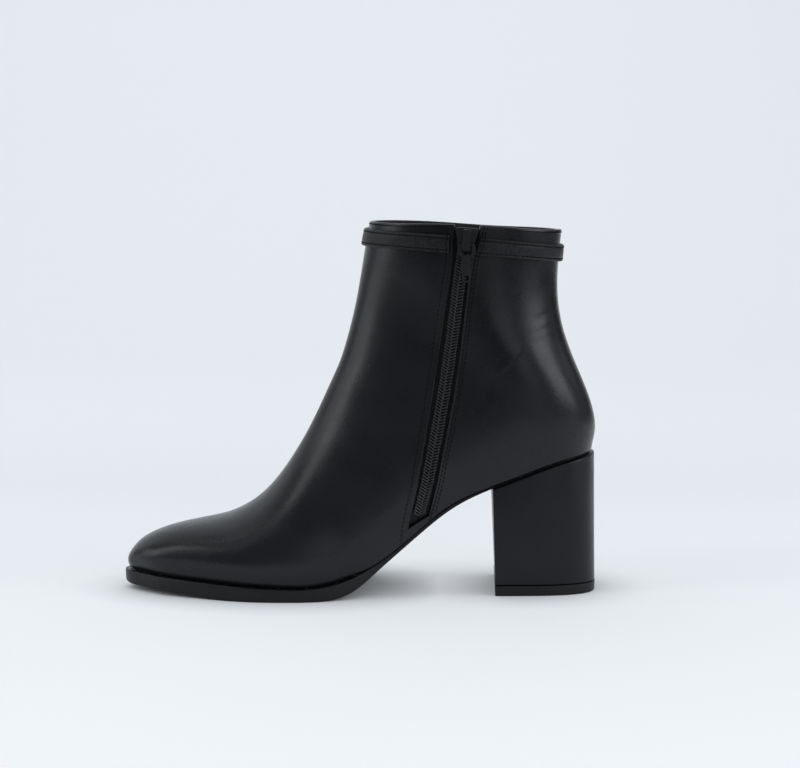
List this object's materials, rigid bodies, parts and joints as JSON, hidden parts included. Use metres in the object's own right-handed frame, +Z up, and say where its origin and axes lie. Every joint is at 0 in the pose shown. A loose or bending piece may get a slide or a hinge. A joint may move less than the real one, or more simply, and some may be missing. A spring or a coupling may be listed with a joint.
{
  "type": "ankle boot",
  "caption": "Right-foot ankle boot with a lasted smooth upper, closed inside zip with pull tab, stitched collar strap, slim sole and block heel.",
  "frame": {"origin": "middle of the boot's bounding box, on the floor under the sole", "axes": "+X to the heel along the boot, -X to the toe, -Y to the inside of the foot (the zip side), +Z up"},
  "size_m": [0.2384, 0.0856, 0.1853],
  "materials": {
    "black_leather": "smooth satin",
    "strap_leather": "smooth satin",
    "sole_rubber": "matt",
    "heel_cover": "smooth satin",
    "lining": "matt",
    "zip_tape": "woven",
    "zip_coil": "satin",
    "black_metal": "satin black"
  },
  "bodies": {
    "boot": {"upper": "black_leather", "outsole": "sole_rubber", "insole": "lining", "heel": "heel_cover", "heel_top_piece": "sole_rubber", "collar_strap": "strap_leather", "zip_tape_front": "zip_tape", "zip_tape_rear": "zip_tape", "zip_coil_front": "zip_coil", "zip_coil_rear": "zip_coil", "zip_slider": "black_metal"},
    "pull_tab": {"zip_pull_tab": "black_metal"}
  },
  "joints": [
    {"name": "pull_tab_swing", "type": "hinge", "parent": "boot", "child": "pull_tab", "pos_m": [0.05274, -0.03683, 0.17553], "axis": [-0.9998, 0.0177, 0.0118], "range_deg": [0, 140]}
  ]
}
